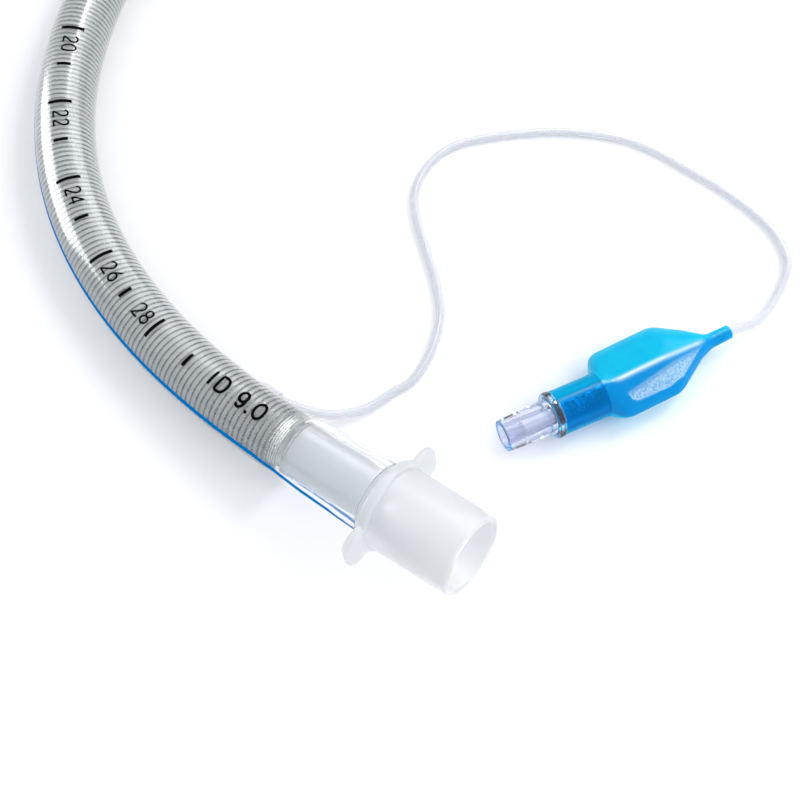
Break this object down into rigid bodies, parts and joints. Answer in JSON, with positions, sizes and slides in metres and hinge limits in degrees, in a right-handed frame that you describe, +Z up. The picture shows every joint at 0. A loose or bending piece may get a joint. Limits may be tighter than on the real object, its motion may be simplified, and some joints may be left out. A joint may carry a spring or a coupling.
{
  "type": "endotracheal tube",
  "caption": "Curved clear breathing tube with a spiral wire in its wall, a cone connector, a thin cuff near the bevelled tip, and a thin line to a pilot balloon with a spring valve.",
  "frame": {"origin": "middle of the tube's outline on the table, under the whole tube, cuff and connector; the line, balloon and valve aren't counted", "axes": "+Z up from the table; +Y from the connector's end of the bend to the patient's end; the connector opens towards +X"},
  "size_m": [0.1765, 0.2468, 0.0217],
  "materials": {
    "clear_plastic": "clear, glossy",
    "lining_plastic": "clear, glossy",
    "wire_steel": "bright drawn wire",
    "milky_plastic": "translucent white, satin",
    "cuff_film": "clear film",
    "line_plastic": "clear, glossy",
    "blue_film": "translucent azure, glossy",
    "valve_plastic": "clear, glossy",
    "white_plastic": "satin",
    "seal_rubber": "matt"
  },
  "bodies": {
    "tube": {"tube_wall": "clear_plastic", "inner_lining": "lining_plastic", "reinforcing_wire": "wire_steel", "connector": "milky_plastic", "cuff": "cuff_film", "line_sleeve": "clear_plastic", "inflation_line": "line_plastic", "pilot_balloon": "blue_film", "valve_body": "valve_plastic", "valve_cap": "white_plastic", "valve_spring": "wire_steel"},
    "plunger": {"valve_plunger": "white_plastic", "plunger_seal": "seal_rubber"}
  },
  "joints": [
    {"name": "plunger_press", "type": "slide", "parent": "tube", "child": "plunger", "axis": [0.4571, 0.8894, 0], "range_m": [0, 0.0018], "stiffness_N_per_m": 300, "deforming": ["valve_spring"]}
  ]
}
